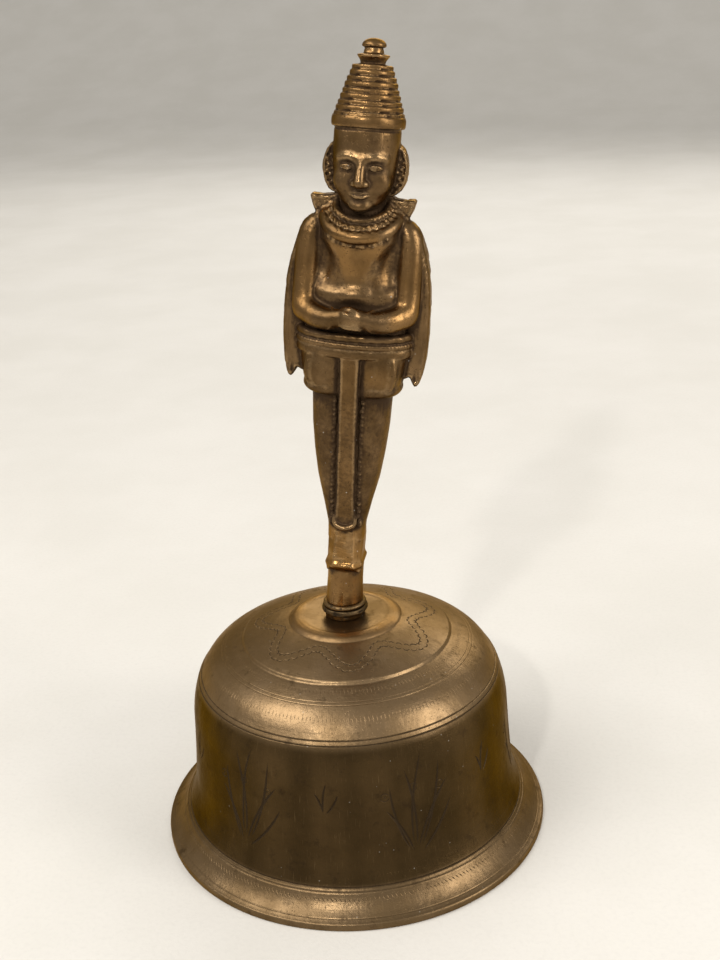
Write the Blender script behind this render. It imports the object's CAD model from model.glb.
import math

import bmesh
import bpy
import numpy as np
from mathutils import Matrix, Vector
from mathutils.geometry import delaunay_2d_cdt


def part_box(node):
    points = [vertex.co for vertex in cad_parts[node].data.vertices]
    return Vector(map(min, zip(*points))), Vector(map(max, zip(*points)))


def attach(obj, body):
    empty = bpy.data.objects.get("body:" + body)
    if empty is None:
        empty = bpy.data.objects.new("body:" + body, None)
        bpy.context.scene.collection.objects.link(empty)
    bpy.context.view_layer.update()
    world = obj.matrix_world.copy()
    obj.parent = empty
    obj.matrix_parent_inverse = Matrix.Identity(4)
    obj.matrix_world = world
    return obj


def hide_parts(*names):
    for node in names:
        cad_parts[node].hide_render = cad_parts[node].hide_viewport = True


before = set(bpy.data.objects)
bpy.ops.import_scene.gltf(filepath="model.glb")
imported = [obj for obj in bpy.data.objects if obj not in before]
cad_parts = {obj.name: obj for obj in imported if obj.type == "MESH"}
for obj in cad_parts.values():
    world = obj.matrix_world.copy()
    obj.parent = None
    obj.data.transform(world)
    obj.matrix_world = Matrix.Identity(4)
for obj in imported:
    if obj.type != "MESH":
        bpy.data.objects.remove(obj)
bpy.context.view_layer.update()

MM = 0.001


# ------------------------------------------------------------------ signed-distance clay (mm)

def smooth_min(a, b, blend):
    """The union of two distances, filleted over the blend width."""
    overlap = np.maximum(blend - np.abs(a - b), 0.0) / blend
    return np.minimum(a, b) - overlap * overlap * blend * 0.25


def smooth_max(a, b, blend):
    """The intersection of two distances, filleted over the blend width."""
    return -smooth_min(-a, -b, blend)


def hump(gap, width):
    """1 where the gap is 0, fading smoothly over the width each way."""
    return np.exp(-(gap / width) ** 2)


def rising(value, soft):
    """A smooth step from 0 to 1 where the value passes 0."""
    return 1.0 / (1.0 + np.exp(-value / soft))


def share_of(value):
    """A value held between 0 and 1."""
    return np.clip(value, 0.0, 1.0)


def by_level(z, levels, values):
    """Read a short table at each height."""
    return np.interp(z.ravel(), levels, values).reshape(z.shape)


class Clay:
    """A block of space where shapes are added and carved as signed distances."""

    def __init__(self, low, high, cell):
        self.cell = cell
        self.low = np.array(low, np.float32)
        counts = [int(math.ceil((b - a) / cell)) + 1 for a, b in zip(low, high)]
        self.axes = [np.float32(a) + np.float32(cell) * np.arange(n, dtype=np.float32)
                     for a, n in zip(low, counts)]
        self.field = np.full(counts, 5.0, np.float32)

    def window(self, low, high, margin):
        """The part of the block round a shape, with its coordinates ready to broadcast."""
        spans = []
        for axis, a, b in zip(self.axes, low, high):
            first = int(np.searchsorted(axis, a - margin))
            last = int(np.searchsorted(axis, b + margin))
            spans.append(slice(first, last))
        x = self.axes[0][spans[0]][:, None, None]
        y = self.axes[1][spans[1]][None, :, None]
        z = self.axes[2][spans[2]][None, None, :]
        return tuple(spans), x, y, z

    def add(self, shape, blend=0.3):
        """Press a shape on to the clay."""
        distance, low, high = shape
        where, x, y, z = self.window(low, high, blend + 1.6)
        self.field[where] = smooth_min(self.field[where], distance(x, y, z), blend)

    def carve(self, shape, blend=0.3):
        """Cut a shape out of the clay."""
        distance, low, high = shape
        where, x, y, z = self.window(low, high, blend + 0.4)
        self.field[where] = smooth_max(self.field[where], -distance(x, y, z), blend)

    def add_pair(self, shape, blend=0.3):
        """Press a shape and its mirror image on to the clay."""
        self.add(mirrored(shape), blend)

    def carve_pair(self, shape, blend=0.3):
        """Cut a shape and its mirror image out of the clay."""
        self.carve(mirrored(shape), blend)

    def sample(self, points):
        """The distance at any points, between the grid's own."""
        place = (points - self.low) / self.cell
        top = np.array(self.field.shape) - 2
        base = np.clip(np.floor(place).astype(int), 0, top)
        part = np.clip(place - base, 0.0, 1.0)
        i, j, k = base.T
        u, v, w = part.T
        f = self.field
        near = (f[i, j, k] * (1 - u) + f[i + 1, j, k] * u) * (1 - v) \
            + (f[i, j + 1, k] * (1 - u) + f[i + 1, j + 1, k] * u) * v
        far = (f[i, j, k + 1] * (1 - u) + f[i + 1, j, k + 1] * u) * (1 - v) \
            + (f[i, j + 1, k + 1] * (1 - u) + f[i + 1, j + 1, k + 1] * u) * v
        return near * (1 - w) + far * w

    def slope(self, points):
        """The distance's gradient at any points."""
        step = self.cell * 0.75
        parts = []
        for axis in range(3):
            shift = np.zeros(3)
            shift[axis] = step
            parts.append((self.sample(points + shift) - self.sample(points - shift)) / (2 * step))
        return np.stack(parts, axis=1)

    def normal(self, points):
        """The outward direction at any points."""
        slope = self.slope(points)
        return slope / np.maximum(np.linalg.norm(slope, axis=1), 1e-6)[:, None]

    def skin(self):
        """The surface where the distance is zero, as points and quads."""
        f = self.field
        inside = f < 0
        count = np.zeros([n - 1 for n in f.shape], np.int8)
        corners = [(a, b, c) for a in (0, 1) for b in (0, 1) for c in (0, 1)]
        for a, b, c in corners:
            count += inside[a:f.shape[0] - 1 + a, b:f.shape[1] - 1 + b, c:f.shape[2] - 1 + c]
        active = (count > 0) & (count < 8)
        cells = np.argwhere(active)
        number = np.full(count.shape, -1, np.int64)
        number[active] = np.arange(len(cells))
        total = np.zeros((len(cells), 3))
        hits = np.zeros(len(cells))
        for start in corners:
            for axis in range(3):
                if start[axis]:
                    continue
                end = list(start)
                end[axis] = 1
                a = f[tuple((cells + start).T)]
                b = f[tuple((cells + end).T)]
                crossed = (a < 0) != (b < 0)
                part = np.where(crossed, a / np.where(crossed, a - b, 1.0), 0.0)
                point = np.array(start, float)[None, :].repeat(len(cells), 0)
                point[:, axis] = part
                total += np.where(crossed[:, None], point, 0.0)
                hits += crossed
        points = (cells + total / hits[:, None]) * self.cell + self.low
        quads = []
        for axis in range(3):
            u, v = [(1, 2), (2, 0), (0, 1)][axis]
            a = np.take(inside, range(f.shape[axis] - 1), axis)
            b = np.take(inside, range(1, f.shape[axis]), axis)
            for rising in (True, False):
                edges = np.argwhere((a & ~b) if rising else (~a & b))
                edges = edges[(edges[:, u] > 0) & (edges[:, v] > 0)]
                edges = edges[(edges[:, u] < f.shape[u] - 1) & (edges[:, v] < f.shape[v] - 1)]
                ring = []
                for du, dv in ((-1, -1), (0, -1), (0, 0), (-1, 0)):
                    cell = edges.copy()
                    cell[:, u] += du
                    cell[:, v] += dv
                    ring.append(number[tuple(cell.T)])
                quad = np.stack(ring if rising else ring[::-1], axis=1)
                quads.append(quad)
        return points, np.concatenate(quads)


# ------------------------------------------------------------------ clay shapes

TINY = 1e-3


def ball(centre, radii):
    """An ellipsoid."""
    cx, cy, cz = centre
    rx, ry, rz = radii

    def distance(x, y, z):
        px, py, pz = (x - cx) / rx, (y - cy) / ry, (z - cz) / rz
        size = np.sqrt(px * px + py * py + pz * pz)
        steep = np.sqrt((px / rx) ** 2 + (py / ry) ** 2 + (pz / rz) ** 2)
        return (size - 1.0) * (size + TINY) / (steep + TINY / min(radii))

    return distance, (cx - rx, cy - ry, cz - rz), (cx + rx, cy + ry, cz + rz)


def curve_through(points, count):
    """A smooth curve through a few points."""
    points = np.array(points, float)
    padded = np.vstack([2 * points[0] - points[1], points, 2 * points[-1] - points[-2]])
    result = []
    for index in range(1, len(padded) - 2):
        a, b, c, d = padded[index - 1:index + 3]
        for step in np.linspace(0, 1, count, endpoint=False):
            result.append(0.5 * (2 * b + (c - a) * step + (2 * a - 5 * b + 4 * c - d) * step ** 2
                                 + (3 * b - a - 3 * c + d) * step ** 3))
    result.append(padded[-2])
    return np.array(result)


def rounded(corners, count):
    """A closed outline with its corners rounded into one smooth curve."""
    loop = corners[-2:] + corners + corners[:2]
    smooth = curve_through([(u, v, 0.0) for u, v in loop], count)
    return [(float(u), float(v)) for u, v, _ in smooth[2 * count:-2 * count - 1]]


def tube(path, squash=(1.0, 1.0, 1.0)):
    """A tube through (x, y, z, radius) points; squash above 1 makes it thinner that way."""
    path = np.array(path, float)
    reach = path[:, 3:4]

    def distance(x, y, z):
        best = None
        for a, b in zip(path[:-1], path[1:]):
            along = b[:3] - a[:3]
            part = ((x - a[0]) * along[0] + (y - a[1]) * along[1] + (z - a[2]) * along[2])
            part = np.clip(part / max(along @ along, TINY), 0.0, 1.0)
            dx = (x - a[0] - part * along[0]) * squash[0]
            dy = (y - a[1] - part * along[1]) * squash[1]
            dz = (z - a[2] - part * along[2]) * squash[2]
            here = np.sqrt(dx * dx + dy * dy + dz * dz) - (a[3] + (b[3] - a[3]) * part)
            best = here if best is None else np.minimum(best, here)
        return best

    return distance, (path[:, :3] - reach).min(0), (path[:, :3] + reach).max(0)


def bowed(points, count=4, squash=(1.0, 1.0, 1.0)):
    """A tube along a smooth curve through (x, y, z, radius) points."""
    return tube(curve_through(points, count), squash)


def across(side, middle=()):
    """A symmetric path, from its left-hand points, outermost first, and those in the middle."""
    return [(-x, *rest) for x, *rest in side] + list(middle) + list(side[::-1])


def oval_distance(x, y, half_width, half_depth, power=2.0):
    """Distance from an oval, or from a boxier one when the power is above 2."""
    u = np.abs(x) / half_width
    v = np.abs(y) / half_depth
    size = (u ** power + v ** power) ** (1.0 / power) + TINY
    slope_u = (u / size) ** (power - 1.0) / half_width
    slope_v = (v / size) ** (power - 1.0) / half_depth
    steep = np.sqrt(slope_u ** 2 + slope_v ** 2) + TINY
    return np.maximum((size - 1.0) / steep, -np.minimum(half_width, half_depth))


def column(levels, power=2.0, edge=0.3, soften=1.6):
    """An upright form of ovals, given as (z, centre x, centre y, half width, half depth)."""
    levels = np.array(levels, float)
    low, high = levels[0, 0], levels[-1, 0]
    fine = np.arange(low - soften, high + soften, 0.1)
    window = np.hanning(max(int(soften / 0.1), 3) + 2)[1:-1]
    window /= window.sum()
    table = []
    for index in range(1, 5):
        line = np.interp(fine, levels[:, 0], levels[:, index])
        padded = np.pad(line, len(window), mode="edge")
        table.append(np.convolve(padded, window, mode="same")[len(window):-len(window)])

    def distance(x, y, z):
        flat = z.ravel()
        cx, cy, a, b = [np.interp(flat, fine, line).reshape(z.shape) for line in table]
        side = oval_distance(x - cx, y - cy, a, b, power)
        return smooth_max(side, np.maximum(low - z, z - high), edge)

    reach_x = (np.abs(levels[:, 1]) + levels[:, 3]).max()
    reach_y = (np.abs(levels[:, 2]) + levels[:, 4]).max()
    return distance, (-reach_x, -reach_y, low), (reach_x, reach_y, high)


def hoop(centre, half_width, half_depth, wire):
    """A ring of wire round an oval."""
    cx, cy, cz = centre

    def distance(x, y, z):
        side = oval_distance(x - cx, y - cy, half_width, half_depth)
        return np.sqrt(side * side + (z - cz) ** 2) - wire

    low = (cx - half_width - wire, cy - half_depth - wire, cz - wire)
    high = (cx + half_width + wire, cy + half_depth + wire, cz + wire)
    return distance, low, high


def turned(radius_at, low, high, widest):
    """A form turned about the upright axis, from its radius at each height."""

    def distance(x, y, z):
        radius = radius_at(z)
        change = (radius_at(z + 0.1) - radius_at(z - 0.1)) / 0.2
        side = (np.sqrt(x * x + y * y) - radius) / np.sqrt(1.0 + np.minimum(change ** 2, 9.0))
        return smooth_max(side, np.maximum(low - z, z - high), 0.15)

    return distance, (-widest, -widest, low), (widest, widest, high)


def polygon_distance(u, v, corners):
    """Signed distance from a closed outline in a plane."""
    best = None
    inside = None
    for a, b in zip(corners, corners[1:] + corners[:1]):
        eu, ev = b[0] - a[0], b[1] - a[1]
        wu, wv = u - a[0], v - a[1]
        part = np.clip((wu * eu + wv * ev) / (eu * eu + ev * ev), 0.0, 1.0)
        here = (wu - eu * part) ** 2 + (wv - ev * part) ** 2
        rises = (a[1] <= v) != (b[1] <= v)
        left = rises & ((eu * wv - wu * ev) * (1.0 if ev > 0 else -1.0) > 0)
        best = here if best is None else np.minimum(best, here)
        inside = left if inside is None else inside ^ left
    return np.sqrt(best) * np.where(inside, -1.0, 1.0)


def moved(shape, pivot, axis, degrees):
    """A shape turned about an axis through a pivot."""
    distance, low, high = shape
    matrix = np.array(Matrix.Rotation(math.radians(degrees), 3, axis))
    px, py, pz = pivot
    corners = np.array([(a, b, c) for a in (low[0], high[0]) for b in (low[1], high[1])
                        for c in (low[2], high[2])]) - pivot
    corners = corners @ matrix.T + pivot

    def turned_distance(x, y, z):
        x, y, z = x - px, y - py, z - pz
        m = matrix
        return distance(x * m[0, 0] + y * m[1, 0] + z * m[2, 0] + px,
                        x * m[0, 1] + y * m[1, 1] + z * m[2, 1] + py,
                        x * m[0, 2] + y * m[1, 2] + z * m[2, 2] + pz)

    return turned_distance, corners.min(0), corners.max(0)


def mirrored(shape):
    """A shape and its mirror image across the figure's middle plane."""
    distance, low, high = shape
    reach = max(abs(low[0]), abs(high[0]))

    def both(x, y, z):
        return distance(np.abs(x), y, z)

    return both, (-reach, low[1], low[2]), (reach, high[1], high[2])


# ------------------------------------------------------------------ the figure, in its own upright frame
# z runs up from just above the post's foot, x to the figure's left, and the figure faces -y.

LEAN = math.radians(5.8)
POST_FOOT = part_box("figure_handle")[0].z / MM  # in the bell's frame
POST_BELOW = 1.1  # from the figure's origin down to the post's foot
BEND = 0.5  # how far the casting bows sideways at mid height
FIGURE_HEIGHT = 118.0
SOCKET_RADIUS = 2.25
SOCKET_DEPTH = 10.5

LIP_LEVEL = 9.1
BLOCK_TOP = 18.0
SASH_LEVELS = (18.0, 30.0, 45.0, 57.0)  # its foot, two bends and its top under the belt
CUFF_LEVEL = 49.1
BELT_LEVEL = 57.3
FOREARM_SHELF = 69.0  # the fold that the forearms lie on, and the shirt front's lower end
SHIRT_TOP = 82.0
WING_FRONT = -2.3  # the y of the wings' front edges
WING_TOP = 84.0
COLLAR_FORWARD = 0.8  # how far the collar's middle is in front of the figure's
COLLAR_TILT = 28.0
HAT_FOOT = 100.5
HAT_TILT = -5.0
HEAD_HALF_WIDTH = 6.5


def sculpt_post_and_feet(clay):
    """The round post, and the block with its worn sloping face and the lip below it."""
    post = ((-2.4, 4.15), (0.3, 4.05), (4.5, 3.9), (8.4, 3.95))
    clay.add(column([(z, 0, 0, radius, radius) for z, radius in post], edge=0.2))
    outline = [(3.4, 7.6), (3.8, 8.2), (3.8, 9.0), (3.5, 9.6), (3.4, BLOCK_TOP), (-3.6, BLOCK_TOP),
               (-4.0, 16.0), (-5.15, 10.1), (-5.6, 9.6), (-5.6, 9.0), (-5.1, 8.4), (-3.9, 7.6)]

    def block(x, y, z):
        side = polygon_distance(y, z, outline)
        half_width = 3.75 + 0.42 * hump(z - LIP_LEVEL, 0.7) + 0.06 * np.cos(z * 0.9)
        wide = np.abs(x) - half_width
        bevel = (np.abs(x) * 0.8 - y * 0.6) - (5.0 - 0.16 * (z - 9.0) + 0.3 * hump(z - LIP_LEVEL, 0.5))
        planed = 0.07 * np.sin(z * 5.3 + 1.9 * np.sin(x * 1.3 + z)) * np.sin(z * 2.1 + 0.4 * x)
        face_edge = 1.9 + 0.16 * (17.0 - z)
        planed = planed - 0.16 * hump(np.abs(x) - face_edge, 0.22)
        return smooth_max(smooth_max(side + planed * (y < -3.4), wide, 0.5), bevel, 0.25)

    clay.add((block, (-4.8, -5.8, 7.4), (4.8, 4.4, BLOCK_TOP)), 0.35)


def sculpt_legs(clay):
    """Two tapering legs, the sash between them, and the beaded seams beside it."""
    leg = column([(14.6, 1.9, -0.1, 2.1, 3.3), (18, 1.95, -0.1, 2.15, 3.5), (23, 2.4, -0.2, 2.75, 4.0),
                  (29, 2.95, -0.2, 3.65, 4.6), (35, 3.5, -0.2, 4.0, 5.0), (41, 3.9, -0.2, 4.2, 5.3),
                  (50.5, 4.2, -0.2, 4.25, 5.5)], power=2.3)
    clay.add_pair(leg, 0.35)
    foot, top = SASH_LEVELS[0], SASH_LEVELS[-1]

    def sash(x, y, z):
        front = by_level(z, SASH_LEVELS, (-4.5, -5.6, -6.8, -7.5))
        half = 1.95 + 0.42 * np.exp(-(z - foot) / 5.0) + 0.05 * np.cos((z - 20.0) * 0.5)
        dish = 0.16 * (1.0 - np.minimum((np.abs(x) / 1.7) ** 2, 1.0))
        faces = np.maximum(front + dish - y, y + 2.0)
        ends = np.maximum(18.4 - z, z - top)
        return smooth_max(smooth_max(faces, np.abs(x) - half, 0.5), ends, 0.6)

    clay.add((sash, (-2.4, -7.5, 18.2), (2.4, -2.0, top)), 0.2)
    tip = across([(2.45, -4.6, 20.4, 0.32), (1.9, -4.85, 18.9, 0.5)], [(0.0, -5.1, 18.2, 0.62)])
    clay.add(bowed(tip), 0.45)
    clay.add(ball((0.0, -3.6, 19.2), (2.1, 1.2, 1.3)), 0.5)
    clay.add_pair(ball((3.05, -3.75, 19.2), (0.62, 0.55, 0.9)), 0.35)

    beads = 33
    first_bead = 20.8
    for step in range(beads):
        z = first_bead + step + 0.12 * math.sin(step * 1.9)
        front = np.interp(z, SASH_LEVELS, (-3.9, -4.75, -5.45, -5.8))
        size = 0.38 + 0.10 * math.sin(step * 2.7)
        beside = 2.75 + 0.10 * math.sin(step * 2.3)
        clay.add_pair(ball((beside, front - 0.02, z), (size, 0.36, size)), 0.3)


def sculpt_skirt(clay):
    """The short garment over the thighs, with a rolled cuff on each leg and three soft folds."""
    lobe = column([(48.2, 4.65, -0.2, 4.9, 5.7), (51.0, 4.95, -0.3, 5.5, 6.3), (55.0, 5.1, -0.3, 6.0, 6.6),
                   (58.5, 4.9, -0.3, 6.4, 6.4)], power=2.2)
    clay.add_pair(lobe, 0.5)

    def cuff(x, y, z):
        side = oval_distance(np.abs(x) - 4.75, y + 0.25, 4.55, 5.5, 2.2)
        level = CUFF_LEVEL + 0.05 * (np.abs(x) - 5.0)
        return np.sqrt(side * side + (z - level) ** 2) - 1.05

    clay.add((cuff, (-11.2, -7.2, CUFF_LEVEL - 1.5), (11.2, 6.6, CUFF_LEVEL + 1.7)), 0.45)
    for x, top, bottom, wide in ((8.4, 55.6, 50.8, 0.6), (6.4, 55.8, 51.0, 0.7), (3.6, 56.0, 50.4, 0.6)):
        fold = [(x, -5.9, top, wide * 0.5), (x + 0.3, -6.1, (top + bottom) / 2, wide),
                (x - 0.1, -5.8, bottom, wide * 0.6)]
        clay.add_pair(bowed(fold, squash=(1.0, 1.3, 1.0)), 2.0)


def sculpt_trunk(clay):
    """Waist, belly, chest, the shirt front under the collar, and the fold that the forearms rest on."""
    clay.add(column([(55, 0, -0.6, 10.6, 5.8), (60, 0, -0.7, 10.3, 5.5), (64, 0, -0.7, 10.0, 5.3),
                     (69, 0, -0.8, 9.8, 5.0), (75, 0, -0.8, 9.7, 3.9), (79, 0, -0.6, 9.6, 3.7),
                     (82.5, 0, -0.3, 8.4, 3.7), (84.5, 0, 0.0, 5.0, 3.6)], power=2.4, edge=1.2), 0.6)

    def bib(x, y, z):
        half = by_level(z, (FOREARM_SHELF, 72.0, 76.0, 79.5, SHIRT_TOP), (3.4, 3.1, 4.6, 7.0, 7.6))
        front = by_level(z, (FOREARM_SHELF, 73.0, 79.0, SHIRT_TOP), (-6.2, -6.1, -6.9, -6.6))
        ripple = 0.10 * np.cos(x * 2.1 + 0.25 * z) * hump(z - 77.0, 3.5)
        face = front + 0.024 * x * x + ripple - y
        ends = np.maximum(FOREARM_SHELF - z, z - SHIRT_TOP)
        return smooth_max(smooth_max(face, np.abs(x) - half, 2.4), ends, 0.8)

    clay.carve_pair(ball((6.9, -5.4, 74.8), (1.9, 2.5, 4.2)), 1.6)
    clay.add((bib, (-7.8, -7.4, FOREARM_SHELF), (7.8, 0.0, SHIRT_TOP)), 1.5)
    shelf = column([(62.0, 0, -0.6, 9.3, 5.6), (66.5, 0, -0.7, 9.4, 6.1), (69.6, 0, -0.7, 9.2, 5.9),
                    (70.4, 0, -0.6, 8.8, 5.2)], power=2.4, edge=1.9)
    clay.add(shelf, 0.8)
    clay.add(ball((0.0, -5.4, FOREARM_SHELF), (2.8, 1.5, 1.5)), 1.4)
    clay.carve(tube(across([(8.6, -5.5, 67.2, 0.22), (3.5, -7.2, 67.1, 0.3)])), 0.5)
    for index, x in enumerate((-5.6, -4.4, -3.4, -2.3, -1.0, 0.2, 1.2, 2.6, 3.5, 4.7, 5.9)):
        size = 0.42 + 0.16 * math.sin(index * 2.4)
        clay.add(ball((x, -6.95 + 0.03 * x * x, 78.9 + 0.045 * x * x), (size, 0.4, size * 0.8)), 0.4)


def sculpt_belt(clay):
    """A broad lower band with a raised top edge, and a twisted cord above it."""

    def band(x, y, z):
        side = oval_distance(x, y + 0.2, 11.7, 7.0, 2.3)
        swell = 0.5 * np.sqrt(np.maximum(1.0 - ((z - BELT_LEVEL) / 1.3) ** 2, 0.0))
        return smooth_max(side - swell, np.abs(z - BELT_LEVEL) - 1.1, 0.5)

    clay.add((band, (-12.5, -8.0, BELT_LEVEL - 1.2), (12.5, 7.4, BELT_LEVEL + 1.2)), 0.2)

    def cord(level, half_width, half_depth, radius, strands, twist):
        """A cord round the waist, twisted from strands."""

        def distance(x, y, z):
            side = oval_distance(x, y + 0.2, half_width, half_depth, 2.3)
            turn = np.arctan2(y + 0.2, x) * strands
            roll = np.arctan2(z - level, side)
            wire = radius + twist * np.cos(turn + roll)
            return np.sqrt(side * side + (z - level) ** 2) - wire

        low = (-half_width - 1, -half_depth - 1.4, level - 1)
        high = (half_width + 1, half_depth + 1, level + 1)
        return distance, low, high

    ground = [(BELT_LEVEL, 0, -0.2, 11.3, 6.7), (BELT_LEVEL + 3.2, 0, -0.2, 11.2, 6.5)]
    clay.add(column(ground, power=2.3), 0.4)
    clay.add(cord(BELT_LEVEL + 1.65, 11.6, 7.0, 0.72, 90, 0.035), 0.2)
    clay.add(cord(BELT_LEVEL + 3.25, 11.4, 6.8, 0.88, 26, 0.045), 0.3)


def sculpt_wings(clay):
    """Folded wings behind the arms: rounded edges in front, scales and long feathers behind."""
    outline = rounded([(0.5, 80.5), (5.0, 82.6), (8.6, 83.0), (10.1, 82.4), (11.6, 80.9), (12.9, 78.2),
                       (13.9, 74.6), (14.7, 69.0), (15.0, 61.0), (14.7, 55.5), (14.2, 52.2), (13.6, 50.4),
                       (12.9, 50.0), (12.3, 50.7), (11.7, 51.9), (11.0, 51.6), (10.4, 51.5), (9.3, 52.4),
                       (8.2, 52.2), (6.8, 52.8), (6.0, 54.6), (4.8, 54.6), (3.4, 56.2), (2.2, 62.0),
                       (1.0, 70.0)], 3)
    lanes = 5.0
    scale_width = 2.6
    scale_height = 2.9

    def middle(x):
        """The wings' middle surface, which curves forward at the sides."""
        return 4.6 - 3.7 * (np.abs(x) / 15.0) ** 2

    def feathers(x, z):
        """How deep the grooves are: long feathers low down, overlapping scales above them."""
        wide = np.abs(x)
        inner = by_level(z, (50.0, 56.0, 62.0, 70.0, WING_TOP), (5.5, 3.4, 2.2, 1.0, 0.4))
        outer = by_level(z, (50.0, 60.0, 70.0, 78.0, WING_TOP), (14.4, 15.1, 14.7, 13.4, 10.6))
        lane = (wide - inner) / (outer - inner) * lanes
        edge = np.abs(lane - np.round(lane)) * (outer - inner) / lanes
        rib = np.abs(lane - np.floor(lane) - 0.5) * (outer - inner) / lanes
        long_lines = 0.34 * hump(edge, 0.24) + 0.16 * hump(rib, 0.16)
        row = np.floor((WING_TOP - z) / scale_height)
        v = (WING_TOP - z) / scale_height - row
        u = wide / scale_width + 0.5 * (row % 2)
        u = u - np.round(u)
        arc = np.abs(np.sqrt(u * u + (v * 0.62) ** 2) - 0.5) * scale_width
        scales = 0.32 * hump(arc, 0.24)
        low_part = rising(69.5 - z, 0.4)
        return long_lines * low_part + scales * (1.0 - low_part)

    def wings(x, y, z):
        plane = polygon_distance(np.abs(x), z, outline)
        thickness = 1.35 + 0.1 * np.cos(z * 0.3)
        back = y - middle(x) - thickness + feathers(x, z)
        border = 0.07 * hump(plane + 0.6, 0.3) - 0.06 * hump(plane + 1.2, 0.2)
        hatch = 0.07 * np.cos(z * 5.2) * hump(plane + 0.55, 0.4) * rising(z - 70.0, 1.0)
        share = share_of((np.abs(x) - 7.8) / 1.6)
        flush = WING_FRONT + 0.09 * (np.abs(x) - 12.3) ** 2
        front = share * flush + (1.0 - share) * (middle(x) - thickness) - border - hatch - y
        return smooth_max(smooth_max(back, front, 0.6), plane, 0.8)

    clay.add((wings, (-15.3, -4.2, 49.6), (15.3, 6.6, 84.4)), 0.3)
    for x in (12.6, 13.5):
        notch = [(x, WING_FRONT - 0.3, 56.5, 0.16), (x + 0.1, WING_FRONT, 51.5, 0.34)]
        clay.carve_pair(tube(notch), 0.3)


def sculpt_arms(clay):
    """Smooth arms bent at the elbow, the hands clasped in front, and a bangle at each wrist."""
    upper = [(7.2, -0.2, 82.6, 1.7), (9.5, -0.7, 80.6, 2.6), (10.2, -1.5, 76.5, 2.6),
             (10.35, -2.3, 71.0, 2.55), (10.3, -3.1, 67.0, 2.6), (9.8, -3.9, 65.2, 2.55)]
    fore = [(10.0, -3.6, 65.5, 2.55), (7.8, -6.0, 64.6, 2.45), (5.0, -7.9, 64.4, 2.15),
            (2.4, -9.0, 65.0, 1.8)]
    clay.add_pair(bowed(upper), 0.4)
    clay.add_pair(bowed(fore), 0.9)

    clay.add(ball((-0.1, -9.4, 65.3), (2.5, 2.0, 2.2)), 0.6)
    clay.add(ball((1.3, -9.0, 65.0), (1.8, 1.8, 1.9)), 0.5)
    top_finger = 66.3
    finger_pitch = 0.84
    for index in range(4):
        z = top_finger - index * finger_pitch
        reach = 2.1 - 0.22 * abs(index - 1.4)
        finger = [(-reach, -9.9, z + 0.1, 0.36), (-0.6, -11.05, z, 0.42),
                  (1.2, -10.75, z - 0.3, 0.38), (2.1, -9.8, z - 0.6, 0.32)]
        clay.add(bowed(finger), 0.45)
    clay.add(tube([(-1.3, -9.3, 66.9, 0.45), (0.2, -10.0, 67.1, 0.48), (1.1, -10.2, 66.7, 0.42)]), 0.6)
    wrist = (4.3, -8.3, 64.7)
    bangle = moved(hoop(wrist, 2.1, 2.1, 0.24), wrist, "Y", 78)
    clay.add_pair(moved(bangle, wrist, "Z", -28), 0.25)


def sculpt_collar(clay):
    """The neck, a broad rolled collar, and points that stand up beside the neck."""
    clay.add(column([(79, 0, 0.2, 5.0, 4.4), (84, 0, 0.0, 4.5, 4.3), (90, 0, -0.3, 4.3, 4.4)]), 0.5)
    for radius, wire, z, blend in ((7.15, 1.35, 83.8, 0.3), (6.2, 0.8, 84.9, 0.3), (5.3, 0.75, 85.9, 0.35)):
        centre = (0.0, -COLLAR_FORWARD, z)
        clay.add(moved(hoop(centre, radius, radius * 0.97, wire), centre, "X", COLLAR_TILT), blend)
    outline = [(4.4, 81.5), (4.7, 88.2), (6.4, 87.5), (8.3, 87.4), (10.1, 87.6), (10.55, 87.2),
               (10.0, 85.4), (9.3, 83.8), (9.0, 81.8)]

    def point(x, y, z):
        plane = polygon_distance(np.abs(x), z, outline)
        centre = 0.6 - 0.1 * (np.abs(x) - 6.0)
        groove = 0.16 * hump(plane + 0.95, 0.22)
        rough = 0.08 * np.cos(np.abs(x) * 5.1 + z * 2.3) * np.cos(z * 4.9)
        return smooth_max(plane, np.abs(y - centre) - 1.5 + groove + rough, 0.7)

    clay.add((point, (-10.7, -1.3, 81.4), (10.7, 2.6, 88.3)), 0.5)


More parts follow.
